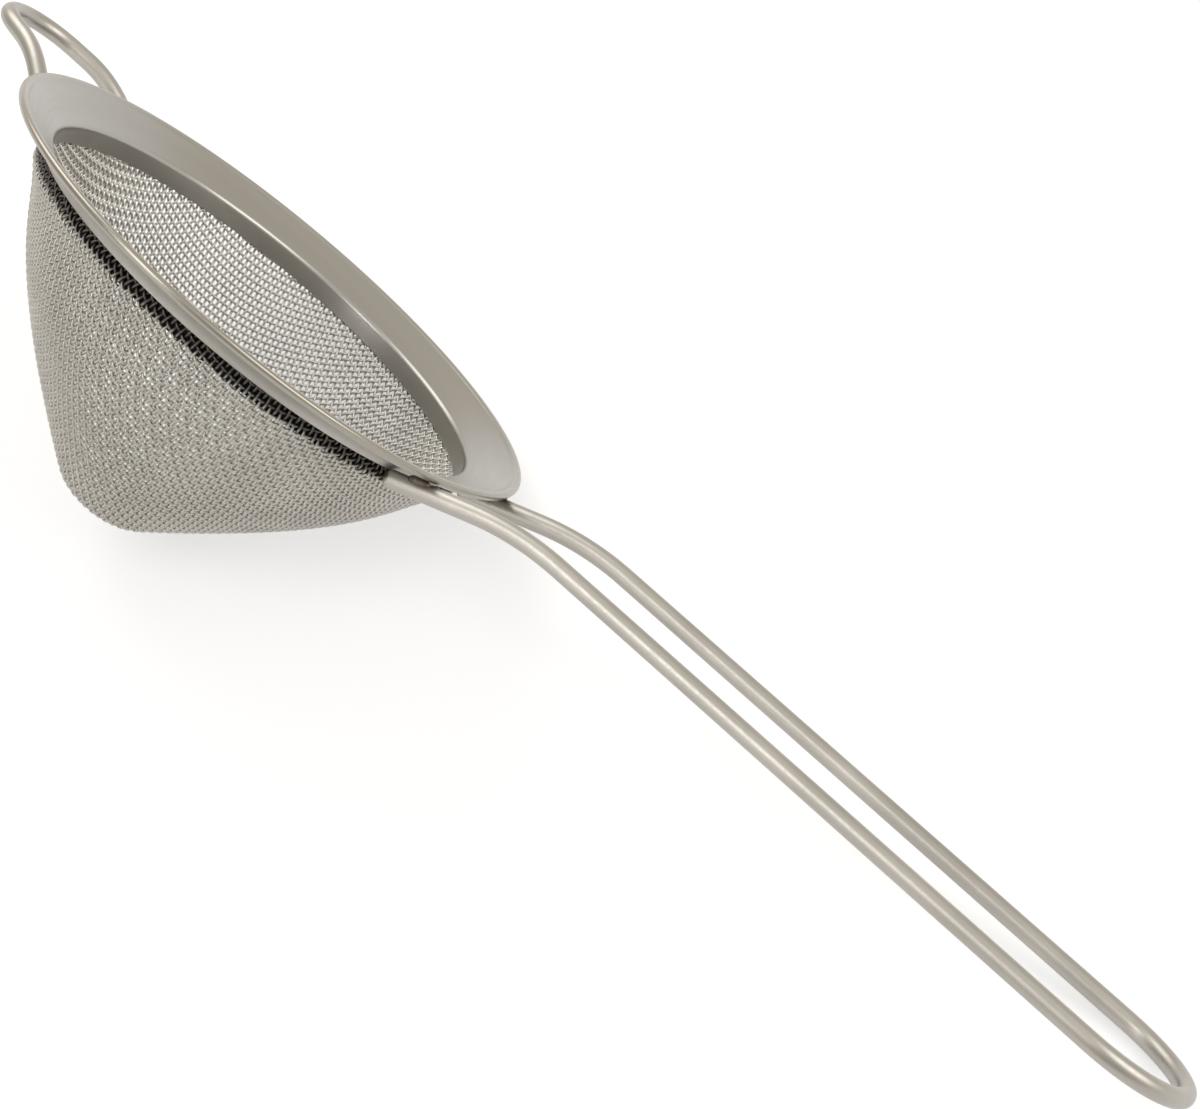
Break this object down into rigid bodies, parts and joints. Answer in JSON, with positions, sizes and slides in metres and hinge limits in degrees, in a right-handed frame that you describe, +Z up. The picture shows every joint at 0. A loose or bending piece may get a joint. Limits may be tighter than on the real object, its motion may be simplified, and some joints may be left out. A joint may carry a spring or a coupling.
{
  "type": "fine mesh strainer",
  "caption": "Small conical fine mesh strainer: a woven steel wire cone in a flanged pressed rim, with a hairpin wire handle and a wire rest loop opposite.",
  "frame": {"origin": "middle of the strainer's box, on the table that it lies on", "axes": "+Z up from the table; +X along the handle as seen from above, from the rim towards the handle's end; the mouth faces +Y and up"},
  "size_m": [0.2148, 0.062, 0.0669],
  "materials": {
    "rim_steel": "satin pressed sheet",
    "woven_steel": "plain woven wire cloth",
    "wire_steel": "drawn and polished wire",
    "weld_steel": "heat tinted weld"
  },
  "bodies": {
    "root": {"rim_ring": "rim_steel", "mesh_cone": "woven_steel", "handle_wire": "wire_steel", "rest_loop": "wire_steel", "handle_weld_left": "weld_steel", "handle_weld_right": "weld_steel", "rest_loop_weld_left": "weld_steel", "rest_loop_weld_right": "weld_steel"}
  },
  "joints": []
}
